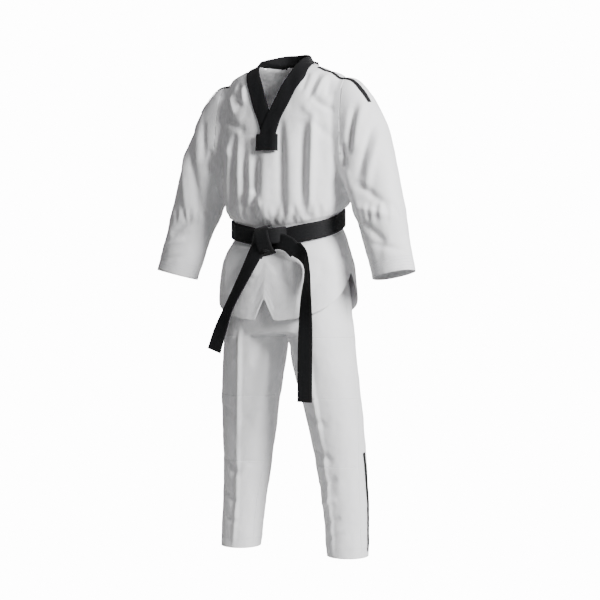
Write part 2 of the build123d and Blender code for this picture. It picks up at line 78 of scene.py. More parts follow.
world = bpy.data.worlds.new("studio")
bpy.context.scene.world = world
world.use_nodes = True
sky = world.node_tree.nodes
sky["Background"].inputs["Color"].default_value = (0.95, 0.95, 0.96, 1)
sky["Background"].inputs["Strength"].default_value = 0.17
white_sky = sky.new("ShaderNodeBackground")
white_sky.inputs["Strength"].default_value = 14.0
white_sky.inputs["Color"].default_value = (1, 1, 1, 1)
sky_mix = sky.new("ShaderNodeMixShader")
sky_path = sky.new("ShaderNodeLightPath")
sky_link = world.node_tree.links.new
sky_link(sky_path.outputs["Is Camera Ray"], sky_mix.inputs["Fac"])
sky_link(sky["Background"].outputs[0], sky_mix.inputs[1])
sky_link(white_sky.outputs[0], sky_mix.inputs[2])
sky_link(sky_mix.outputs[0], sky["World Output"].inputs["Surface"])

floor_mesh = bmesh.new()
bmesh.ops.create_circle(floor_mesh, cap_ends=True, radius=1.6, segments=96,
                        matrix=Matrix.Translation((0, 0, -1.43)))
floor_data = bpy.data.meshes.new("floor")
floor_mesh.to_mesh(floor_data)
floor = bpy.data.objects.new("floor", floor_data)
bpy.context.collection.objects.link(floor)
floor_finish = bpy.data.materials.new("pale_floor")
floor_finish.use_nodes = True
floor_nodes, floor_link = floor_finish.node_tree.nodes, floor_finish.node_tree.links.new
floor_nodes["Principled BSDF"].inputs["Base Color"].default_value = (0.5, 0.5, 0.5, 1)
floor_nodes["Principled BSDF"].inputs["Roughness"].default_value = 0.9
floor_glow = floor_nodes.new("ShaderNodeEmission")
floor_glow.inputs["Strength"].default_value = 14.0
floor_path = floor_nodes.new("ShaderNodeLightPath")
floor_mix = floor_nodes.new("ShaderNodeMixShader")
floor_link(floor_path.outputs["Is Camera Ray"], floor_mix.inputs["Fac"])
floor_link(floor_nodes["Principled BSDF"].outputs[0], floor_mix.inputs[1])
floor_link(floor_glow.outputs[0], floor_mix.inputs[2])
floor_link(floor_mix.outputs[0], floor_nodes["Material Output"].inputs["Surface"])
floor_data.materials.append(floor_finish)


# Finishes: the white cloth is a ribbed cotton and polyester weave, slightly soft and not quite even;
# the black trims are dense cotton, the belt has the faint sheen of rows of machine stitching.
def cloth_finish(name, color, deep, roughness, sheen, pitch, relief):
    """Woven cloth: two crossed thread waves as bump and as painted shade between the threads, over a slow
    tone change.
    """
    finish = bpy.data.materials.new(name)
    finish.use_nodes = True
    nodes, link = finish.node_tree.nodes, finish.node_tree.links.new
    shader = nodes["Principled BSDF"]
    shader.inputs["Roughness"].default_value = roughness
    shader.inputs["Sheen Weight"].default_value = sheen
    shader.inputs["Sheen Roughness"].default_value = 0.5
    shader.inputs["Specular IOR Level"].default_value = 0.18
    place = nodes.new("ShaderNodeTexCoord")
    tone = nodes.new("ShaderNodeTexNoise")
    tone.inputs["Scale"].default_value = 9
    tone.inputs["Detail"].default_value = 6
    link(place.outputs["Object"], tone.inputs["Vector"])
    shade = nodes.new("ShaderNodeMix")
    shade.data_type = "RGBA"
    shade.inputs["A"].default_value = (*deep, 1)
    shade.inputs["B"].default_value = (*color, 1)
    link(tone.outputs["Fac"], shade.inputs["Factor"])
    threads = []
    for direction in ("DIAGONAL", "Z"):
        wave = nodes.new("ShaderNodeTexWave")
        wave.bands_direction = direction
        wave.inputs["Scale"].default_value = 0.314 / pitch
        wave.inputs["Distortion"].default_value = 0.6
        wave.inputs["Detail"].default_value = 1.0
        link(place.outputs["Object"], wave.inputs["Vector"])
        threads.append(wave)
    weave = nodes.new("ShaderNodeMath")
    weave.operation = "MULTIPLY"
    link(threads[0].outputs["Fac"], weave.inputs[0])
    link(threads[1].outputs["Fac"], weave.inputs[1])
    # painted shade: the weave pattern darkens the base colour between the threads
    groove_shade = nodes.new("ShaderNodeMix")
    groove_shade.data_type = "RGBA"
    groove_shade.blend_type = "MULTIPLY"
    groove_shade.inputs["Factor"].default_value = 0.10
    link(shade.outputs["Result"], groove_shade.inputs["A"])
    link(weave.outputs[0], groove_shade.inputs["B"])
    link(groove_shade.outputs["Result"], shader.inputs["Base Color"])
    bump = nodes.new("ShaderNodeBump")
    bump.inputs["Strength"].default_value = 0.6
    bump.inputs["Distance"].default_value = relief
    link(weave.outputs[0], bump.inputs["Height"])
    link(bump.outputs["Normal"], shader.inputs["Normal"])
    return finish


white_cloth = cloth_finish("white_ribbed_cloth", color=(0.90, 0.90, 0.91), deep=(0.82, 0.82, 0.835),
                           roughness=0.82, sheen=0.25, pitch=0.0016, relief=0.0003)
black_trim = cloth_finish("black_collar_cloth", color=(0.007, 0.007, 0.008), deep=(0.004, 0.004, 0.005),
                          roughness=0.75, sheen=0.02, pitch=0.0012, relief=0.0003)
black_belt = cloth_finish("black_belt_cotton", color=(0.009, 0.009, 0.010), deep=(0.005, 0.005, 0.006),
                          roughness=0.66, sheen=0.03, pitch=0.0014, relief=0.0004)


# Jacket skin: body, skirt and both sleeves are drawn as level and tilted rings, joined into one
# closed form, remeshed to an even cloth grid and relaxed, so that shoulder and underarm flow.
def ring(bm, half_width, half_depth, squareness, place=Matrix.Identity(4), count=72):
    """One closed ring of the form, between an ellipse (2) and a rectangle, at a placing matrix."""
    made = bmesh.ops.create_circle(bm, radius=1, segments=count)["verts"]
    for vert in made:
        turn = atan2(vert.co.y, vert.co.x)
        side, front = cos(turn), sin(turn)
        vert.co = place @ Vector((copysign(abs(side) ** (2 / squareness), side) * half_width,
                                  copysign(abs(front) ** (2 / squareness), front) * half_depth, 0))
    return list({edge for vert in made for edge in vert.link_edges})


def eased(rows, steps):
    """Rows of numbers with a smooth curve through them, steps to each gap."""
    rows = np.array(rows, float)
    padded = np.vstack([2 * rows[0] - rows[1], rows, 2 * rows[-1] - rows[-2]])
    smooth = []
    for i in range(1, len(padded) - 2):
        a, b, c, d = padded[i - 1:i + 3]
        for t in np.arange(steps) / steps:
            smooth.append(0.5 * (2 * b + (c - a) * t + (2 * a - 5 * b + 4 * c - d) * t**2
                                 + (3 * b - a - 3 * c + d) * t**3))
    return smooth + [rows[-1]]


def tube(bm, rows, steps=8):
    """Closed tube through rows of x, y, z, axis x, y, z, half width, half depth, squareness."""
    loops = []
    for x, y, z, ax, ay, az, half_width, half_depth, squareness in eased(rows, steps):
        axis = Vector((ax, ay, az)).normalized()
        across = Vector((0, 1, 0)).cross(axis).normalized()
        turn = Matrix((across, axis.cross(across), axis)).transposed().to_4x4()
        loops.append(ring(bm, half_width, half_depth, squareness, Matrix.Translation((x, y, z)) @ turn))
    for low, high in zip(loops, loops[1:]):
        bmesh.ops.bridge_loops(bm, edges=low + high)
    for end in (loops[0], loops[-1]):
        bmesh.ops.holes_fill(bm, edges=end, sides=0)


def skin(bm, name, voxel, rounds):
    """Closed overlapping tubes to one even, relaxed mesh."""
    bmesh.ops.recalc_face_normals(bm, faces=bm.faces)
    data = bpy.data.meshes.new(name)
    bm.to_mesh(data)
    bm.free()
    raw = bpy.data.objects.new(name, data)
    bpy.context.collection.objects.link(raw)
    remesh = raw.modifiers.new("remesh", "REMESH")
    remesh.mode = "VOXEL"
    remesh.voxel_size = voxel
    relax = raw.modifiers.new("relax", "SMOOTH")
    relax.iterations = rounds
    baked = bpy.data.meshes.new_from_object(raw.evaluated_get(bpy.context.evaluated_depsgraph_get()))
    bpy.data.objects.remove(raw)
    out = bmesh.new()
    out.from_mesh(baked)
    return out


WAIST = (-0.439, 0.30, 0.156, 0.098, 2.7)      # belt line: height, rise to the back, half sizes, squareness
body_rows = [
    # x, y, z, axis, half width, half depth, squareness, top to bottom
    (0, 0.004, 0.030, 0, 0, 1, 0.070, 0.050, 2.2),
    (0, 0.002, 0.000, 0, 0, 1, 0.086, 0.060, 2.3),
    (0, 0.000, -0.018, 0, 0, 1, 0.128, 0.070, 2.4),
    (0, 0.000, -0.040, 0, 0, 1, 0.172, 0.079, 2.5),
    (0, 0.000, -0.085, 0, 0, 1, 0.186, 0.093, 2.7),
    (0, 0.000, -0.160, 0, 0, 1, 0.187, 0.108, 2.9),
    (0, 0.000, -0.250, 0, 0, 1, 0.187, 0.116, 2.9),
    (0, 0.000, -0.330, 0, -0.05, 1, 0.185, 0.121, 2.9),
    (0, 0.000, -0.385, 0, -0.20, 1, 0.179, 0.122, 2.8),
    (0, 0.000, -0.412, 0, -0.28, 1, 0.166, 0.110, 2.7),
    (0, 0.000, -0.430, 0, -0.30, 1, 0.157, 0.099, 2.7),
    (0, 0.000, -0.464, 0, -0.30, 1, 0.157, 0.099, 2.7),
    (0, 0.000, -0.486, 0, -0.20, 1, 0.166, 0.106, 2.7),
    (0, 0.000, -0.530, 0, 0, 1, 0.181, 0.117, 2.8),
    (0, 0.000, -0.600, 0, 0, 1, 0.191, 0.127, 2.8),
    (0, 0.000, -0.740, 0, 0, 1, 0.197, 0.134, 2.8),
]
sleeve_rows = [
    # from inside the shoulder to past the wrist; half width is across the arm, half depth front to back
    (0.120, 0.000, -0.135, 0.98, 0, -0.20, 0.088, 0.056, 2.1),
    (0.178, 0.000, -0.160, 0.96, 0, -0.28, 0.116, 0.068, 2.2),
    (0.215, -0.003, -0.213, 0.80, 0, -0.60, 0.104, 0.076, 2.2),
    (0.246, -0.007, -0.280, 0.50, -0.04, -0.86, 0.086, 0.076, 2.2),
    (0.276, -0.015, -0.360, 0.34, -0.08, -0.94, 0.073, 0.068, 2.2),
    (0.303, -0.024, -0.440, 0.29, -0.10, -0.95, 0.066, 0.061, 2.2),
    (0.326, -0.033, -0.520, 0.25, -0.10, -0.96, 0.061, 0.053, 2.2),
    (0.347, -0.041, -0.600, 0.22, -0.10, -0.97, 0.060, 0.047, 2.2),
]
jacket = bmesh.new()
tube(jacket, body_rows)
for side in (1, -1):
    tube(jacket, [(side * x, y, z, side * ax, ay, az, *rest) for x, y, z, ax, ay, az, *rest in sleeve_rows])
jacket = skin(jacket, "jacket", 0.0044, 9)


# Folds of the jacket: the cloth hangs in long folds from chest to belt, pulls in short folds below
# both shoulders, blouses over the belt with small gathers, and wrinkles at elbows and cuffs.
def folded(bm, folds, ripples):
    """Pushes the cloth along its normals: folds are lines, ripples are slow uneven waves."""
    bm.normal_update()
    place = np.array([vert.co for vert in bm.verts])
    normal = np.array([vert.normal for vert in bm.verts])
    move = np.zeros(len(place))
    for facing, (x1, z1), (x2, z2), width, height in folds:
        start, run = np.array((x1, z1)), np.array((x2 - x1, z2 - z1))
        along = ((place[:, (0, 2)] - start) @ run) / (run @ run)
        held = np.clip(along, 0, 1)
        apart = np.linalg.norm(place[:, (0, 2)] - start - held[:, None] * run, axis=1)
        taper = 1 - (2 * held - 1) ** 4 * 0.85
        shown = np.clip(facing * normal[:, 1] * 1.8 + 0.25, 0, 1)
        move += height * np.exp(-(apart / width) ** 2) * taper * shown
    for scale, height, low, high, fade in ripples:
        wave = np.array([noise.noise(Vector(point * scale)) for point in place])
        share = np.clip((place[:, 2] - low) / fade, 0, 1) * np.clip((high - place[:, 2]) / fade, 0, 1)
        move += wave * height * share
    for vert, shift, push in zip(bm.verts, move, normal):
        vert.co += Vector(push) * float(shift)


FRONT, BACK = -1, 1
jacket_folds = [
    # facing, from (x, z), to (x, z), half width of the fold, height
    (FRONT, (-0.132, -0.20), (-0.138, -0.41), 0.010, 0.006),
    (FRONT, (-0.112, -0.19), (-0.118, -0.40), 0.009, -0.006),
    (FRONT, (-0.096, -0.21), (-0.090, -0.41), 0.010, 0.006),
    (FRONT, (-0.078, -0.22), (-0.070, -0.40), 0.009, -0.006),
    (FRONT, (-0.060, -0.24), (-0.048, -0.39), 0.010, 0.006),
    (FRONT, (-0.036, -0.26), (-0.034, -0.40), 0.009, -0.007),
    (FRONT, (-0.004, -0.245), (-0.012, -0.44), 0.019, 0.010),
    (FRONT, (0.036, -0.16), (0.044, -0.42), 0.013, -0.010),
    (FRONT, (0.066, -0.20), (0.074, -0.42), 0.016, 0.006),
    (FRONT, (0.104, -0.16), (0.104, -0.41), 0.013, -0.010),
    (FRONT, (0.128, -0.14), (0.124, -0.41), 0.010, 0.011),
    (FRONT, (0.152, -0.16), (0.160, -0.38), 0.016, -0.004),
    (FRONT, (0.128, -0.030), (0.108, -0.105), 0.008, -0.007),
    (FRONT, (0.146, -0.040), (0.128, -0.10), 0.007, 0.006),
    (FRONT, (0.098, -0.032), (0.090, -0.085), 0.008, -0.005),
    (FRONT, (0.160, -0.045), (0.158, -0.10), 0.008, -0.006),
    (FRONT, (0.120, -0.105), (0.172, -0.140), 0.009, -0.006),
    (FRONT, (0.110, -0.135), (0.168, -0.215), 0.012, -0.006),
    (FRONT, (0.098, -0.120), (0.150, -0.185), 0.010, 0.005),
    (FRONT, (-0.146, -0.080), (-0.118, -0.140), 0.009, 0.008),
    (FRONT, (-0.160, -0.090), (-0.140, -0.160), 0.010, -0.006),
    (FRONT, (-0.102, -0.060), (-0.088, -0.110), 0.007, 0.006),
    (FRONT, (-0.120, -0.050), (-0.100, -0.120), 0.008, -0.006),
    (FRONT, (-0.150, -0.150), (-0.080, -0.190), 0.012, -0.005),
    (FRONT, (-0.170, -0.200), (-0.120, -0.260), 0.012, 0.005),
    (FRONT, (-0.064, -0.395), (-0.044, -0.350), 0.010, 0.008),
    (FRONT, (-0.044, -0.350), (-0.018, -0.400), 0.010, 0.008),
    (FRONT, (-0.044, -0.380), (-0.044, -0.440), 0.011, -0.008),
    (FRONT, (0.236, -0.130), (0.226, -0.270), 0.010, -0.009),
    (FRONT, (0.256, -0.120), (0.246, -0.250), 0.010, 0.006),
    (FRONT, (0.292, -0.160), (0.256, -0.330), 0.011, -0.009),
    (FRONT, (0.306, -0.200), (0.280, -0.360), 0.010, 0.006),
    (FRONT, (0.206, -0.230), (0.214, -0.300), 0.009, -0.010),
    (FRONT, (0.216, -0.300), (0.262, -0.430), 0.014, 0.006),
    (FRONT, (0.250, -0.340), (0.340, -0.400), 0.011, -0.007),
    (FRONT, (0.250, -0.400), (0.350, -0.430), 0.010, 0.005),
    (FRONT, (0.262, -0.440), (0.340, -0.500), 0.011, -0.006),
    (FRONT, (0.290, -0.500), (0.388, -0.520), 0.009, -0.004),
    (FRONT, (-0.236, -0.150), (-0.226, -0.270), 0.011, -0.007),
    (FRONT, (-0.292, -0.160), (-0.240, -0.420), 0.014, -0.009),
    (FRONT, (-0.310, -0.220), (-0.286, -0.400), 0.010, 0.006),
    (FRONT, (-0.206, -0.230), (-0.214, -0.300), 0.009, -0.010),
    (FRONT, (-0.262, -0.420), (-0.340, -0.470), 0.011, -0.006),
    (FRONT, (-0.290, -0.480), (-0.372, -0.505), 0.010, 0.005),
    (FRONT, (-0.300, -0.530), (-0.390, -0.545), 0.007, -0.003),
    (BACK, (-0.110, -0.12), (-0.130, -0.41), 0.016, -0.008),
    (BACK, (-0.070, -0.16), (-0.078, -0.41), 0.014, 0.007),
    (BACK, (0.000, -0.10), (0.006, -0.41), 0.020, -0.006),
    (BACK, (0.066, -0.16), (0.082, -0.41), 0.014, 0.007),
    (BACK, (0.112, -0.12), (0.134, -0.41), 0.016, -0.008),
    (BACK, (0.150, -0.06), (0.166, -0.30), 0.012, 0.006),
    (BACK, (-0.150, -0.06), (-0.166, -0.30), 0.012, 0.006),
    (BACK, (0.240, -0.16), (0.262, -0.42), 0.013, -0.008),
    (BACK, (-0.240, -0.16), (-0.262, -0.42), 0.013, -0.008),
    (BACK, (0.26, -0.42), (0.34, -0.47), 0.012, 0.006),
    (BACK, (-0.26, -0.42), (-0.34, -0.47), 0.012, 0.006),
    (FRONT, (0.030, -0.55), (0.070, -0.67), 0.020, -0.006),
    (FRONT, (0.090, -0.53), (0.120, -0.66), 0.018, 0.004),
    (FRONT, (-0.030, -0.53), (-0.050, -0.60), 0.022, 0.005),
    (FRONT, (-0.090, -0.54), (-0.110, -0.68), 0.016, -0.005),
    (FRONT, (-0.140, -0.52), (-0.150, -0.68), 0.014, 0.005),
    (FRONT, (0.150, -0.55), (0.160, -0.64), 0.016, -0.003),
    (BACK, (0.070, -0.50), (0.080, -0.70), 0.016, 0.007),
    (BACK, (-0.080, -0.50), (-0.090, -0.70), 0.016, 0.007),
    (BACK, (0.000, -0.50), (0.000, -0.70), 0.018, -0.006),
]
jacket_ripples = [
    # noise scale in x, y, z, depth of the ripple, foot and top of its stretch, fade at each end
    (np.array((16.0, 12.0, 3.4)), 0.0055, -0.44, -0.10, 0.10),
    (np.array((34.0, 20.0, 7.0)), 0.0022, -0.60, 0.02, 0.05),
    (np.array((75.0, 60.0, 16.0)), 0.0045, -0.452, -0.385, 0.022),
    (np.array((9.0, 9.0, 5.0)), 0.004, -0.74, -0.46, 0.08),
    (np.array((60.0, 40.0, 50.0)), 0.0007, -0.74, 0.02, 0.02),
]
folded(jacket, jacket_folds, jacket_ripples)

# under the belt the cloth is pressed flat to the waist line, which sags in front under the knot
waist_level, waist_rise, waist_half, waist_deep, waist_square = WAIST
PRESS_REACH, PRESS_EDGE, BODY_REACH = 0.034, 0.011, 0.175
BELT_SAG, SAG_HALF = 0.015, 0.075


def sag(x, y, depth=BELT_SAG):
    """How far the belt line hangs below its plane at a place round the waist."""
    return depth * exp(-(x / SAG_HALF) ** 2) if y < 0 else 0.0


for vert in jacket.verts:
    off = vert.co.z - waist_level - waist_rise * vert.co.y + sag(vert.co.x, vert.co.y)
    if abs(off) < PRESS_REACH and abs(vert.co.x) < BODY_REACH:
        reach = abs(vert.co.x / waist_half) ** waist_square + abs(vert.co.y / waist_deep) ** waist_square
        pressed = reach ** (-1 / waist_square)
        share = min(1.0, (PRESS_REACH - abs(off)) / PRESS_EDGE)
        factor = 1 + (min(pressed, 1.0) - 1) * share
        vert.co.x *= factor
        vert.co.y *= factor
jacket.normal_update()

# the shirt-tail hem: deepest in front and behind, up to the vents, with a notch at the centre front
SKIRT_TOP, SKIRT_CUT = -0.530, -0.735
VENT_TOP, HEM_DROP, SKIRT_HALF, SKIRT_DEEP = -0.576, 0.133, 0.197, 0.134
NOTCH_HEIGHT, NOTCH_HALF, NOTCH_MIDDLE = 0.061, 0.030, -0.004
SKIRT_REACH = 0.24      # half width that holds the skirt and leaves out the cuffs


def whole(bm):
    """All of a mesh, for cutting."""
    return bm.verts[:] + bm.edges[:] + bm.faces[:]


bmesh.ops.bisect_plane(jacket, geom=whole(jacket), plane_co=(0, 0, SKIRT_CUT), plane_no=(0, 0, -1),
                       clear_outer=True)
for vert in jacket.verts:
    if vert.co.z < SKIRT_TOP and abs(vert.co.x) < SKIRT_REACH:
        round_body = abs(atan2(vert.co.y / SKIRT_DEEP, vert.co.x / SKIRT_HALF))
        from_vent = min(round_body, pi - round_body) / (pi / 2)
        hem = VENT_TOP - HEM_DROP * sin(min(1.0, from_vent * 1.12) * pi / 2) ** 0.9
        if vert.co.y < 0:
            hem += NOTCH_HEIGHT * max(0.0, 1 - abs(vert.co.x - NOTCH_MIDDLE) / NOTCH_HALF)
        vert.co.z = SKIRT_TOP + (vert.co.z - SKIRT_TOP) * (hem - SKIRT_TOP) / (SKIRT_CUT - SKIRT_TOP)


# Jacket pieces: front and back body cut at the side seams and shoulders, the sleeves at the
# armhole seams, the skirt below the belt; each is doubled to a thin cloth, the body pieces carried by the
# torso.
def cut_copy(bm, planes):
    """Copy of a mesh with everything outside the planes cut away."""
    piece = bm.copy()
    for point, outward in planes:
        bmesh.ops.bisect_plane(piece, geom=whole(piece), dist=1e-6, plane_co=point, plane_no=outward,
                               clear_outer=True)
    return piece


PLY, DOUBLE_PLY = 0.0013, 0.0022


def cloth_piece(bm, name, finish, nodes, thickness=PLY):
    """A finished cloth piece that stands for its CAD nodes."""
    bmesh.ops.delete(bm, geom=[vert for vert in bm.verts if not vert.link_faces], context="VERTS")
    bmesh.ops.triangulate(bm, faces=[face for face in bm.faces if len(face.verts) > 4])
    for face in bm.faces:
        face.smooth = True
    data = bpy.data.meshes.new(name)
    bm.to_mesh(data)
    bm.free()
    data.materials.append(finish)
    made = bpy.data.objects.new(name, data)
    bpy.context.collection.objects.link(made)
    ply = made.modifiers.new("ply", "SOLIDIFY")
    ply.thickness = thickness
    ply.offset = -1
    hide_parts(*nodes)
    return made


V_FOOT, V_TOP, V_HALF = -0.150, -0.004, 0.078
V_RISE = 0.140          # height over which the V opens to its full half width
NAPE_TOP, NECK_REACH = 0.008, 0.105


def open_neck(bm):
    """Cuts the V in front and the level edge at the nape."""
    for side in (1, -1):
        bmesh.ops.bisect_plane(bm, geom=whole(bm), dist=1e-6, plane_co=(0, 0, V_FOOT),
                               plane_no=(side * V_RISE, 0, -V_HALF))
    for height in (V_TOP, NAPE_TOP):
        bmesh.ops.bisect_plane(bm, geom=whole(bm), dist=1e-6, plane_co=(0, 0, height), plane_no=(0, 0, 1))
    gone = []
    for face in bm.faces:
        x, y, z = face.calc_center_median()
        if z > (NAPE_TOP if y > -0.01 else V_TOP) and abs(x) < NECK_REACH:
            gone.append(face)
        elif y < 0.02 and z > V_FOOT and abs(x) * V_RISE < (z - V_FOOT) * V_HALF:
            gone.append(face)
    bmesh.ops.delete(bm, geom=gone, context="FACES")


def armhole(side):
    """The armhole seam plane, from the shoulder tip down to the underarm."""
    return Vector((side * 0.190, 0, -0.036)), Vector((side * 0.9995, 0, 0.033))


def lift_with_arm(piece):
    """Bakes a sleeve piece's placing into its mesh."""
    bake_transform(piece)


def wrist(side):
    """The cuff's end, and the way the forearm points."""
    return Vector((side * 0.345, -0.040, -0.584)), Vector((side * 0.22, -0.10, -0.97)).normalized()


ARM_GAP = 0.225         # half width that clears the body and stays inside the forearms
belt_cut = (Vector((0, 0, waist_level)), Vector((0, -waist_rise, 1)).normalized())
half_front, half_back = ((0, 0, 0), (0, 1, 0)), ((0, 0, 0), (0, -1, 0))
above_belt = (belt_cut[0], -belt_cut[1])
body = cut_copy(jacket, [armhole(1), armhole(-1), above_belt])
open_neck(body)
# flat cuts of the body and of the skirt below it
for name, half, facing in (("front", half_front, FRONT), ("back", half_back, BACK)):
    made = cloth_piece(cut_copy(body, [half]), f"jacket_{name}_cloth", white_cloth,
                       [f"jacket_{name}"])
    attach(made, "torso")
    skirt = cut_copy(jacket, [belt_cut, half, ((ARM_GAP, 0, 0), (1, 0, 0)), ((-ARM_GAP, 0, 0), (-1, 0, 0))])
    made = cloth_piece(skirt, f"{name}_skirt_cloth", white_cloth,
                       [f"{name}_skirt", f"{name}_skirt_facing"])
    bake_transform(made)
for name, side in (("left", 1), ("right", -1)):
    seam = armhole(side)
    sleeve = cut_copy(jacket, [(seam[0], -seam[1]), wrist(side)])
    body_part = [face for face in sleeve.faces if abs(face.calc_center_median().x) < ARM_GAP
                 and face.calc_center_median().z < -0.45]
    bmesh.ops.delete(sleeve, geom=body_part, context="FACES")
    made = cloth_piece(sleeve, f"{name}_sleeve_cloth", white_cloth,
                       [f"{name}_sleeve", f"{name}_cuff_facing"])
    lift_with_arm(made)


# Trousers: straight-cut legs on full hips, remeshed as one form so that the crotch flows, with a
# pressed crease down the front of each leg and broken folds at knees, shins and hems.
hip_rows = [
    # as for the body: x, y, z, axis, half width, half depth, squareness
    (0, 0, -0.412, 0, -0.30, 1, 0.144, 0.085, 2.6),
    (0, 0, -0.462, 0, -0.30, 1, 0.146, 0.087, 2.6),
    (0, 0, -0.540, 0, -0.10, 1, 0.160, 0.099, 2.6),
    (0, 0, -0.620, 0, 0, 1, 0.176, 0.112, 2.6),
    (0, 0, -0.690, 0, 0, 1, 0.184, 0.117, 2.6),
    (0, 0, -0.745, 0, 0, 1, 0.186, 0.110, 2.5),
]
leg_rows = [
    (0.098, 0.000, -0.640, 0, 0, 1, 0.074, 0.102, 2.2),
    (0.100, 0.000, -0.720, 0, 0, 1, 0.087, 0.106, 2.2),
    (0.106, 0.003, -0.790, 0, 0, 1, 0.088, 0.101, 2.1),
    (0.119, 0.009, -0.870, 0, 0, 1, 0.085, 0.092, 2.1),
    (0.133, 0.018, -0.960, 0, 0, 1, 0.080, 0.084, 2.1),
    (0.145, 0.028, -1.060, 0, 0, 1, 0.073, 0.076, 2.1),
    (0.156, 0.036, -1.160, 0, 0, 1, 0.066, 0.069, 2.1),
    (0.166, 0.036, -1.260, 0, 0, 1, 0.060, 0.063, 2.1),
    (0.173, 0.030, -1.390, 0, 0, 1, 0.055, 0.058, 2.1),
]
trousers = bmesh.new()
tube(trousers, hip_rows)
for side in (1, -1):
    tube(trousers, [(side * row[0], *row[1:]) for row in leg_rows])
trousers = skin(trousers, "trousers", 0.0044, 8)
trouser_folds = [
    # facing, from (x, z), to (x, z), half width of the fold, height
    (FRONT, (-0.096, -0.74), (-0.136, -1.05), 0.006, 0.009),
    (FRONT, (-0.136, -1.05), (-0.166, -1.36), 0.006, 0.006),
    (FRONT, (0.104, -0.74), (0.132, -1.05), 0.006, 0.009),
    (FRONT, (0.132, -1.05), (0.152, -1.36), 0.006, 0.006),
    (BACK, (-0.104, -0.72), (-0.168, -1.36), 0.008, 0.006),
    (BACK, (0.104, -0.72), (0.168, -1.36), 0.008, 0.006),
    (FRONT, (-0.190, -0.95), (-0.130, -0.99), 0.010, -0.005),
    (FRONT, (-0.128, -1.00), (-0.070, -0.96), 0.010, -0.004),
    (FRONT, (-0.196, -1.10), (-0.140, -1.15), 0.012, -0.006),
    (FRONT, (-0.150, -1.17), (-0.110, -1.12), 0.009, 0.004),
    (FRONT, (-0.205, -1.20), (-0.150, -1.23), 0.009, -0.005),
    (FRONT, (-0.200, -1.27), (-0.150, -1.29), 0.008, -0.004),
    (FRONT, (0.080, -0.96), (0.150, -1.00), 0.011, -0.004),
    (FRONT, (0.100, -1.06), (0.160, -1.10), 0.012, -0.005),
    (FRONT, (0.100, -1.18), (0.172, -1.14), 0.011, -0.006),
    (FRONT, (0.110, -1.22), (0.168, -1.20), 0.010, 0.005),
    (FRONT, (0.116, -1.28), (0.178, -1.25), 0.009, -0.005),
    (FRONT, (0.130, -1.32), (0.190, -1.29), 0.008, -0.003),
    (FRONT, (0.020, -0.76), (0.070, -0.84), 0.012, -0.005),
    (FRONT, (-0.020, -0.76), (-0.070, -0.84), 0.012, -0.005),
    (BACK, (-0.150, -0.86), (-0.040, -0.80), 0.014, -0.006),
    (BACK, (0.150, -0.86), (0.040, -0.80), 0.014, -0.006),
    (BACK, (-0.170, -1.06), (-0.090, -1.02), 0.013, -0.006),
    (BACK, (0.170, -1.06), (0.090, -1.02), 0.013, -0.006),
    (BACK, (-0.180, -1.22), (-0.120, -1.19), 0.011, -0.005),
    (BACK, (0.180, -1.22), (0.120, -1.19), 0.011, -0.005),
]
trouser_ripples = [
    (np.array((14.0, 12.0, 3.0)), 0.0045, -1.40, -0.70, 0.08),
    (np.array((24.0, 16.0, 16.0)), 0.0022, -1.38, -0.72, 0.05),
    (np.array((60.0, 60.0, 45.0)), 0.0008, -1.38, -0.50, 0.03),
]
folded(trousers, trouser_folds, trouser_ripples)
trousers.normal_update()

# Trouser pieces: hips in front and behind, cut through the crotch, then thigh, knee and shin panels
# in front of each side seam and one long panel behind it.
KNEE_TOP, KNEE_FOOT, LEG_END, CROTCH = -0.923, -1.112, -1.364, -0.7555
waist_edge = ((0, 0, -0.455), (0, -0.287, 0.958))


def below(height):
    """Cutting plane that keeps what is below a height."""
    return (0, 0, height), (0, 0, 1)


def above(height):
    """Cutting plane that keeps what is above a height."""
    return (0, 0, height), (0, 0, -1)


def spread_with_leg(piece):
    """Bakes a leg piece's placing into its mesh."""
    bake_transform(piece)


for name, half, wide in (("front", half_front, 0.40), ("back", half_back, 0.44)):
    nodes = [f"trouser_{name}"] + (["crotch_gusset"] if name == "front" else [])
    hips = cut_copy(trousers, [above(CROTCH), half, waist_edge])
    made = cloth_piece(hips, f"trouser_{name}_cloth", white_cloth, nodes)
    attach(made, "torso")
SIDE_SEAM = 0.008       # the leg's side seams, behind the middle
before_seam, behind_seam = ((0, SIDE_SEAM, 0), (0, 1, 0)), ((0, SIDE_SEAM, 0), (0, -1, 0))
for name, side in (("left", 1), ("right", -1)):
    middle = ((0, 0, 0), (-side, 0, 0))
    panels = {
        # the stretch of leg that each panel covers, and its flat cut
        "thigh_panel": ([below(CROTCH), above(KNEE_TOP)], (0.29, 0.172)),
        "knee_panel": ([below(KNEE_TOP), above(KNEE_FOOT)], (0.22, 0.19)),
        "shin_panel": ([below(KNEE_FOOT), above(LEG_END)], (0.15, 0.25)),
        "leg_back": ([below(CROTCH), above(LEG_END)], (0.275, 0.61)),
    }
    for panel, (planes, flat) in panels.items():
        half = behind_seam if panel == "leg_back" else before_seam
        nodes = [f"{name}_{panel}"] + ([f"{name}_leg_facing"] if panel == "leg_back" else [])
        leg = cut_copy(trousers, [*planes, middle, half])
        made = cloth_piece(leg, f"{name}_{panel}_cloth", white_cloth, nodes)
        spread_with_leg(made)


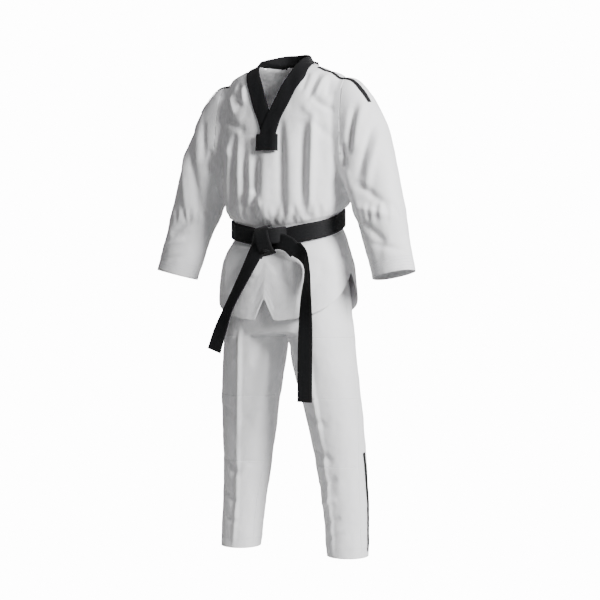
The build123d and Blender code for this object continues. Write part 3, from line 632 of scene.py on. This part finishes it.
# Waistband: a doubled band drawn into small gathers by the flat elastic inside it, worn under
# the jacket and the belt.
def loop_band(name, level, half_width, half_depth, squareness, width, rows, hang, shape, finish, nodes):
    """A closed band round the waist that hangs in front by hang, pushed outwards by shape(share, turn)."""
    bm = bmesh.new()
    loops = []
    for row in range(rows + 1):
        share = row / rows
        made = ring(bm, half_width, half_depth, squareness, count=256)
        for vert in {vert for edge in made for vert in edge.verts}:
            turn = atan2(vert.co.y / half_depth, vert.co.x / half_width)
            out = 1 + shape(share, turn) / Vector((vert.co.x, vert.co.y)).length
            vert.co.x *= out
            vert.co.y *= out
            drop = sag(vert.co.x, vert.co.y, hang)
            vert.co.z = level + (share - 0.5) * width + waist_rise * vert.co.y - drop
        loops.append(made)
    for low, high in zip(loops, loops[1:]):
        bmesh.ops.bridge_loops(bm, edges=low + high)
    bmesh.ops.recalc_face_normals(bm, faces=bm.faces)
    return cloth_piece(bm, name, finish, nodes, thickness=DOUBLE_PLY)


def gathers(share, turn):
    """Small gathers drawn in by the elastic."""
    return 0.0018 * sin(turn * 61 + 2.2 * sin(turn * 7)) * (0.6 + 0.4 * cos(share * 4 * pi))


def stitched(share, turn):
    """Ridges between the rows of stitching, and thin edges."""
    return 0.0003 * cos(share * 20 * pi) - 0.0008 * max(0.0, 1 - min(share, 1 - share) * 16)


made = loop_band("waistband_cloth", -0.444, 0.1435, 0.0845, 2.6, 0.046, 16, 0, gathers, white_cloth,
                 ["waistband"])
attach(made, "torso")
elastic = cloth_finish("elastic_weave", color=(0.80, 0.80, 0.78), deep=(0.70, 0.70, 0.68),
                       roughness=0.7, sheen=0.1, pitch=0.0010, relief=0.0003)
made = loop_band("waist_elastic_band", -0.448, 0.1385, 0.0795, 2.6, 0.034, 10, 0,
                 lambda share, turn: 0.0003 * cos(share * 20 * pi), elastic, ["waist_elastic"])
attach(made, "torso")

# Belt: a strip of stitched cotton that goes twice round the waist, drawn as two closed bands, with
# ten rows of machine stitching that leave fine ridges along it; it sags a little under the knot.
for name, level, grown in (("inner", -0.4380, 0.0048), ("outer", -0.4395, 0.0080)):
    made = loop_band(f"belt_{name}_strip", level, waist_half + grown, waist_deep + grown, waist_square,
                     0.0455, 40, BELT_SAG, stitched, black_belt, [f"belt_{name}_wrap"])
    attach(made, "torso")


def ribbon(rows, thick, columns, ridge, proud=0.0, surface=None):
    """Closed flat strip through pairs of edge points, ridged by its rows of stitching. On a surface
    it is laid along the cloth and stands proud of it, but comes free above the shoulder line."""
    bm = bmesh.new()
    outlines = []
    for index, (inner, outer) in enumerate(rows):
        before, after = rows[max(index - 1, 0)], rows[min(index + 1, len(rows) - 1)]
        ahead = after[0] + after[1] - before[0] - before[1]
        across = outer - inner
        face = across.cross(ahead).normalized()
        middle = (inner + outer) / 2
        if surface and face.dot(Vector((middle.x, middle.y, 0.02))) < 0:
            face = -face
        made = bmesh.ops.create_grid(bm, x_segments=columns, y_segments=1, size=0.5)["verts"]
        for vert in made:
            share = vert.co.x + 0.5
            swell = thick / 2 + ridge * cos(share * columns * pi)
            swell -= 0.35 * thick * max(0.0, 1 - min(share, 1 - share) * 18)
            shift = proud + copysign(swell, vert.co.y)
            place = inner + across * share
            free = place + face * shift
            if surface:
                near, normal, _, _ = surface.find_nearest(place)
                held = min(1.0, max(0.0, (0.012 - place.z) / 0.020))
                free = free.lerp(near + normal * shift, held)
            vert.co = free
        outlines.append((list({edge for vert in made for edge in vert.link_edges if edge.is_boundary}),
                         list({face for vert in made for face in vert.link_faces})))
    bmesh.ops.delete(bm, geom=[face for _, faces in outlines[1:-1] for face in faces], context="FACES_ONLY")
    for (low, _), (high, _) in zip(outlines, outlines[1:]):
        bmesh.ops.bridge_loops(bm, edges=[edge for edge in low + high if edge.is_valid])
    bmesh.ops.delete(bm, geom=[edge for edge in bm.edges if not edge.link_faces], context="EDGES")
    bmesh.ops.recalc_face_normals(bm, faces=bm.faces)
    return bm


def ends_of(points, steps, width):
    """Pairs of edge points along a smooth path of x, y, z and across x, y, z."""
    path = [(Vector(row[:3]), Vector(row[3:])) for row in eased(points, steps)]
    pairs = []
    for index, (point, across) in enumerate(path):
        ahead = (path[min(index + 1, len(path) - 1)][0] - path[max(index - 1, 0)][0]).normalized()
        across = (across - ahead * across.dot(ahead)).normalized() * width / 2
        pairs.append((point - across, point + across))
    return pairs


def solid_piece(bm, name, finish, nodes):
    """A finished closed piece that stands for its CAD nodes."""
    for face in bm.faces:
        face.smooth = True
    data = bpy.data.meshes.new(name)
    bm.to_mesh(data)
    bm.free()
    data.materials.append(finish)
    data.set_sharp_from_angle(angle=radians(50))
    made = bpy.data.objects.new(name, data)
    bpy.context.collection.objects.link(made)
    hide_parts(*nodes)
    return made


# The knot: the strip goes over and under itself; one flat turn lies across, one comes down steeply
# over it, and both ends leave from under it, so the knot is built from four short strips.
knot_turns = [
    # along the middle of each strip: x, y, z, and the way across it
    [(-0.050, -0.112, -0.488, 0.25, 0, 1), (-0.030, -0.127, -0.484, 0.15, 0, 1),
     (0.000, -0.134, -0.480, 0, 0, 1), (0.030, -0.129, -0.477, -0.1, 0, 1),
     (0.056, -0.112, -0.474, -0.1, 0, 1)],
    [(-0.020, -0.108, -0.455, 1, 0, 0.2), (-0.015, -0.128, -0.459, 1, 0, 0.2),
     (-0.006, -0.140, -0.484, 1, 0, 0.25), (0.002, -0.134, -0.514, 1, 0, 0.35),
     (0.004, -0.118, -0.528, 1, 0, 0.3)],
    [(0.004, -0.118, -0.512, 0.85, 0, -0.5), (-0.010, -0.130, -0.506, 0.7, 0, -0.7),
     (-0.022, -0.132, -0.512, 0.8, 0, -0.5), (-0.031, -0.131, -0.534, 1, 0, -0.35)],
    [(0.012, -0.114, -0.494, 0.3, 0, 1), (0.044, -0.124, -0.494, 0.40, 0, 0.9),
     (0.070, -0.128, -0.502, 0.7, 0, 0.8), (0.092, -0.130, -0.520, 1, 0, 0.7)],
]
knot = bmesh.new()
for turn in knot_turns:
    one_turn = ribbon(ends_of(turn, 6, 0.043), 0.0055, 20, 0.0003)
    turned = bpy.data.meshes.new("turn")
    one_turn.to_mesh(turned)
    one_turn.free()
    knot.from_mesh(turned)
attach(solid_piece(knot, "belt_knot_turns", black_belt, ["belt_knot"]), "torso")

# The two free ends: the wearer's right one swings outwards and half rolls over, the left one rolls
# on its edge at the hip, then hangs flat and straight; both are cut square.
tails = {
    "left": [(0.092, -0.131, -0.512, 0.9, 0, 0.8), (0.116, -0.133, -0.531, 1, -0.5, 0.5),
             (0.129, -0.136, -0.558, 1, -0.95, 0.25), (0.133, -0.139, -0.592, 1, -0.85, 0.1),
             (0.131, -0.142, -0.645, 1, -0.45, 0), (0.131, -0.145, -0.732, 1, -0.08, 0),
             (0.130, -0.146, -0.820, 1, 0, 0), (0.129, -0.146, -0.926, 1, 0, 0.04)],
    "right": [(-0.026, -0.131, -0.516, 1, -0.05, -0.45), (-0.062, -0.138, -0.587, 1, -0.4, -0.45),
              (-0.106, -0.142, -0.668, 1, -0.6, -0.40), (-0.136, -0.142, -0.735, 1, -0.2, -0.30),
              (-0.157, -0.142, -0.795, 1, 0, -0.16)],
}
for name, points in tails.items():
    tail = ribbon(ends_of(points, 10, 0.0440), 0.0040, 20, 0.0003)
    made = solid_piece(tail, f"{name}_belt_end", black_belt, [f"{name}_belt_tail"])
    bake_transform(made)

# Collar: one folded black band, quilted by rows of stitching, from the foot of the V round the
# nape; it stands up behind the neck and its left half laps over the right at the foot.
collar_rows = [
    # inner edge x, y, z, outer edge x, y, z, from the nape to the foot
    (0.000, 0.050, 0.036, 0.000, 0.062, -0.015),
    (0.030, 0.045, 0.036, 0.034, 0.058, -0.015),
    (0.055, 0.022, 0.028, 0.064, 0.034, -0.014),
    (0.066, -0.010, 0.018, 0.084, -0.012, -0.012),
    (0.064, -0.045, 0.004, 0.095, -0.047, -0.022),
    (0.050, -0.070, -0.030, 0.086, -0.075, -0.054),
    (0.031, -0.088, -0.067, 0.069, -0.092, -0.090),
    (0.014, -0.102, -0.105, 0.052, -0.103, -0.130),
    (-0.002, -0.111, -0.139, 0.035, -0.110, -0.163),
    (-0.018, -0.115, -0.175, 0.022, -0.113, -0.203),
    (-0.026, -0.117, -0.200, 0.014, -0.115, -0.224),
]
halves = {side: [(Vector((side * row[0], row[1], row[2])), Vector((side * row[3], row[4], row[5])))
                 for row in eased(collar_rows, 6)] for side in (1, -1)}
jacket_surface = BVHTree.FromBMesh(jacket)
NECK_SIDE = 15          # row of the path where the nape band gives way to the front bands
BAND_THICK = 0.0030
for name, side, proud in (("left", 1, 0.0052), ("right", -1, 0.0022)):
    band = ribbon(halves[side][NECK_SIDE:], BAND_THICK, 16, 0.0002, proud, jacket_surface)
    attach(solid_piece(band, f"collar_{name}_fold", black_trim,
                        [f"collar_{name}_band", f"collar_{name}_interlining"]), "torso")
nape_rows = halves[-1][1:NECK_SIDE + 2][::-1] + halves[1][:NECK_SIDE + 2]
band = ribbon(nape_rows, BAND_THICK, 16, 0.0002, 0.0022, jacket_surface)
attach(solid_piece(band, "collar_nape_fold", black_trim,
                    ["collar_back_band", "collar_back_interlining"]), "torso")

# Tab: a folded rectangle of the collar cloth, sewn over the foot of the V in close rows. The hanger
# loop inside the nape lies up against the band.
tab_rows = [(Vector((-0.035, -0.120, height)), Vector((0.033, -0.120, height - 0.002)))
            for height in np.linspace(-0.199, -0.245, 12)]
tab = ribbon(tab_rows, 0.0036, 26, 0.0002, 0.0088, jacket_surface)
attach(solid_piece(tab, "collar_tab_patch", black_trim, ["collar_tab"]), "torso")
loop_points = [(-0.030, 0.0440, -0.002, 0, 0, 1), (-0.020, 0.0420, 0.010, 0, 0, 1),
               (0.020, 0.0420, 0.010, 0, 0, 1), (0.030, 0.0440, -0.002, 0, 0, 1)]
loop = ribbon(ends_of(loop_points, 6, 0.006), 0.0012, 2, 0.0)
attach(solid_piece(loop, "nape_hanger_loop", black_trim, ["hanger_loop"]), "torso")

# Tapes: plain black woven tape along both shoulder seams and over the sleeve heads, and down the
# outer side of both lower legs.
tape_finish = cloth_finish("black_tape_weave", color=(0.010, 0.010, 0.011), deep=(0.006, 0.006, 0.007),
                           roughness=0.6, sheen=0.03, pitch=0.0009, relief=0.0002)
trouser_surface = BVHTree.FromBMesh(trousers)
for name, side in (("left", 1), ("right", -1)):
    runs = {
        "shoulder_tape": (jacket_surface, [
            (0.113, -0.034, -0.016, 0, 1, 0), (0.140, -0.034, -0.023, 0, 1, 0),
            (0.172, -0.033, -0.034, 0, 1, 0), (0.190, -0.031, -0.042, 0, 1, 0)]),
        "sleeve_tape": (jacket_surface, [
            (0.192, -0.030, -0.043, 0, 1, 0), (0.216, -0.027, -0.058, 0, 1, 0),
            (0.238, -0.028, -0.086, 0, 1, 0), (0.264, -0.030, -0.120, 0, 1, 0)]),
        "leg_tape": (trouser_surface, [
            (0.225, 0.034, -1.075, 0, 1, 0), (0.228, 0.044, -1.160, 0, 1, 0),
            (0.230, 0.045, -1.260, 0, 1, 0), (0.232, 0.040, -1.348, 0, 1, 0)]),
    }
    for run, (surface, points) in runs.items():
        points = [(side * row[0], *row[1:]) for row in points]
        tape = ribbon(ends_of(points, 8, 0.014), 0.0014, 6, 0.0, 0.0014, surface)
        made = solid_piece(tape, f"{name}_{run}_weave", tape_finish, [f"{name}_{run}"])
        if run == "shoulder_tape":
            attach(made, "torso")
        elif run == "sleeve_tape":
            lift_with_arm(made)
        else:
            spread_with_leg(made)

# Stitching: double rows at the leg hems, five rows round the cuffs, and the flat seams above
# and below the knee panels.
thread = cloth_finish("white_thread", color=(0.80, 0.80, 0.81), deep=(0.66, 0.66, 0.68),
                      roughness=0.7, sheen=0.1, pitch=0.0008, relief=0.0002)


def stitch_row(bm, point, normal, planes, name, depth=0.00045):
    """A sewn row where a plane meets the cloth, as a fine raised thread."""
    row = cut_copy(bm, planes)
    bmesh.ops.bisect_plane(row, geom=whole(row), dist=1e-6, plane_co=point, plane_no=normal,
                           clear_outer=True, clear_inner=True)
    row.verts.index_update()
    curve = bpy.data.curves.new(name, "CURVE")
    curve.dimensions = "3D"
    curve.bevel_depth = depth
    curve.bevel_resolution = 1
    seen = set()
    for start in sorted(row.verts, key=lambda vert: (len(vert.link_edges) != 1, vert.index)):
        if start in seen:
            continue
        chain, here = [], start
        while here:
            seen.add(here)
            chain.append(here)
            ahead = [edge.other_vert(here) for edge in here.link_edges]
            here = next((vert for vert in ahead if vert not in seen), None)
        if len(chain) > 3:
            spline = curve.splines.new("POLY")
            spline.points.add(len(chain) - 1)
            for point_on, vert in zip(spline.points, chain):
                point_on.co = (*vert.co, 1)
            spline.use_cyclic_u = chain[0] in [edge.other_vert(chain[-1]) for edge in chain[-1].link_edges]
    row.free()
    sewn = bpy.data.objects.new(name, curve)
    bpy.context.collection.objects.link(sewn)
    data = bpy.data.meshes.new_from_object(sewn.evaluated_get(bpy.context.evaluated_depsgraph_get()))
    bpy.data.objects.remove(sewn)
    data.name = name
    data.materials.append(thread)
    made = bpy.data.objects.new(name, data)
    bpy.context.collection.objects.link(made)
    return made


CUFF_EDGE, CUFF_STEP = 0.006, 0.008
HEM_SEAM, HEM_TWIN = 0.026, 0.029
for name, side in (("left", 1), ("right", -1)):
    cuff_end, forearm = wrist(side)
    beyond_body = ((side * 0.25, 0, 0), (-side, 0, 0))
    for row in range(5):
        place = cuff_end - forearm * (CUFF_EDGE + row * CUFF_STEP)
        made = stitch_row(jacket, place, forearm, [beyond_body], f"{name}_cuff_row_{row + 1}")
        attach(made, f"{name}_arm")
    middle = ((0, 0, 0), (-side, 0, 0))
    sewn_rows = (("hem_row_1", LEG_END + HEM_SEAM, [middle]), ("hem_row_2", LEG_END + HEM_TWIN, [middle]),
                 ("knee_foot_seam", KNEE_FOOT, [middle, before_seam]))
    for part, height, planes in sewn_rows:
        made = stitch_row(trousers, (0, 0, height), (0, 0, 1), planes, f"{name}_{part}")
        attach(made, f"{name}_leg")
    planes = [middle, before_seam]
    made = stitch_row(trousers, (0, 0, KNEE_TOP), (0, 0, 1), planes, f"{name}_knee_top_seam")
    spread_with_leg(made)
jacket.free()
trousers.free()
